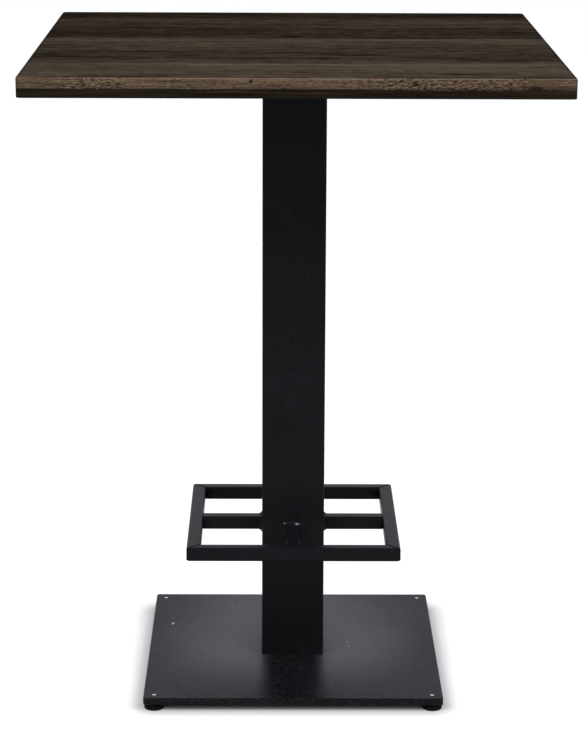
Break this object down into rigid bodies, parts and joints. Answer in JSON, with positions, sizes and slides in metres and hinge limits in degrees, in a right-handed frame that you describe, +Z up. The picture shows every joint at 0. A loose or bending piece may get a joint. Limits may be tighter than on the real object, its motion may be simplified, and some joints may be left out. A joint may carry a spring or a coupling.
{
  "type": "pub table",
  "caption": "Square bar-height table: dark wooden top on a black steel column with a welded footrest frame and a flat base plate on screw-in levelling feet.",
  "frame": {"origin": "on the floor under the middle of the column, feet screwed fully in", "axes": "+Z up, -Y towards the front, +X to the right seen from the front; the grain of the top runs along X"},
  "size_m": [0.8, 0.8, 1.035],
  "materials": {
    "smoked_oak": "smoked oak with a matt oil finish, grain along X",
    "dark_underlayer": "near-black stained wood, matt",
    "black_powder_coat": "fine-textured satin black powder coat on steel",
    "zinc_steel": "bright zinc plate",
    "black_plastic": "moulded black plastic"
  },
  "bodies": {
    "table": {"top_board": "smoked_oak", "top_underlayer": "dark_underlayer", "head_plate": "black_powder_coat", "head_plate_screws": "zinc_steel", "column_head_weld": "black_powder_coat", "column_tube": "black_powder_coat", "column_nut_plate": "zinc_steel", "column_foot_weld": "zinc_steel", "column_bolts": "zinc_steel", "column_bolt_washers": "zinc_steel", "base_plate": "black_powder_coat", "footrest_front_bar": "black_powder_coat", "footrest_right_bar": "black_powder_coat", "footrest_rear_bar": "black_powder_coat", "footrest_left_bar": "black_powder_coat", "footrest_arm_front": "black_powder_coat", "footrest_arm_right": "black_powder_coat", "footrest_arm_rear": "black_powder_coat", "footrest_arm_left": "black_powder_coat", "footrest_column_welds": "black_powder_coat", "footrest_bar_welds": "black_powder_coat"},
    "front_left_pad": {"foot_pad_front_left": "black_plastic"},
    "front_left_stud": {"foot_stud_front_left": "zinc_steel"},
    "front_right_pad": {"foot_pad_front_right": "black_plastic"},
    "front_right_stud": {"foot_stud_front_right": "zinc_steel"},
    "rear_left_pad": {"foot_pad_rear_left": "black_plastic"},
    "rear_left_stud": {"foot_stud_rear_left": "zinc_steel"},
    "rear_right_pad": {"foot_pad_rear_right": "black_plastic"},
    "rear_right_stud": {"foot_stud_rear_right": "zinc_steel"}
  },
  "joints": [
    {"name": "front_left_foot_extend", "type": "slide", "parent": "table", "child": "front_left_pad", "axis": [0, 0, -1], "range_m": [0, 0.006]},
    {"name": "front_left_stud_turn", "type": "hinge", "parent": "front_left_pad", "child": "front_left_stud", "pos_m": [-0.222, -0.222, 0.01], "axis": [0, 0, -1], "range_deg": [0, 1728]},
    {"name": "front_right_foot_extend", "type": "slide", "parent": "table", "child": "front_right_pad", "axis": [0, 0, -1], "range_m": [0, 0.006]},
    {"name": "front_right_stud_turn", "type": "hinge", "parent": "front_right_pad", "child": "front_right_stud", "pos_m": [0.222, -0.222, 0.01], "axis": [0, 0, -1], "range_deg": [0, 1728]},
    {"name": "rear_left_foot_extend", "type": "slide", "parent": "table", "child": "rear_left_pad", "axis": [0, 0, -1], "range_m": [0, 0.006]},
    {"name": "rear_left_stud_turn", "type": "hinge", "parent": "rear_left_pad", "child": "rear_left_stud", "pos_m": [-0.222, 0.222, 0.01], "axis": [0, 0, -1], "range_deg": [0, 1728]},
    {"name": "rear_right_foot_extend", "type": "slide", "parent": "table", "child": "rear_right_pad", "axis": [0, 0, -1], "range_m": [0, 0.006]},
    {"name": "rear_right_stud_turn", "type": "hinge", "parent": "rear_right_pad", "child": "rear_right_stud", "pos_m": [0.222, 0.222, 0.01], "axis": [0, 0, -1], "range_deg": [0, 1728]}
  ],
  "couplings": [
    {"joint": "front_left_foot_extend", "follows": "front_left_stud_turn", "m_per_rad": 0.00019894},
    {"joint": "front_right_foot_extend", "follows": "front_right_stud_turn", "m_per_rad": 0.00019894},
    {"joint": "rear_left_foot_extend", "follows": "rear_left_stud_turn", "m_per_rad": 0.00019894},
    {"joint": "rear_right_foot_extend", "follows": "rear_right_stud_turn", "m_per_rad": 0.00019894}
  ]
}
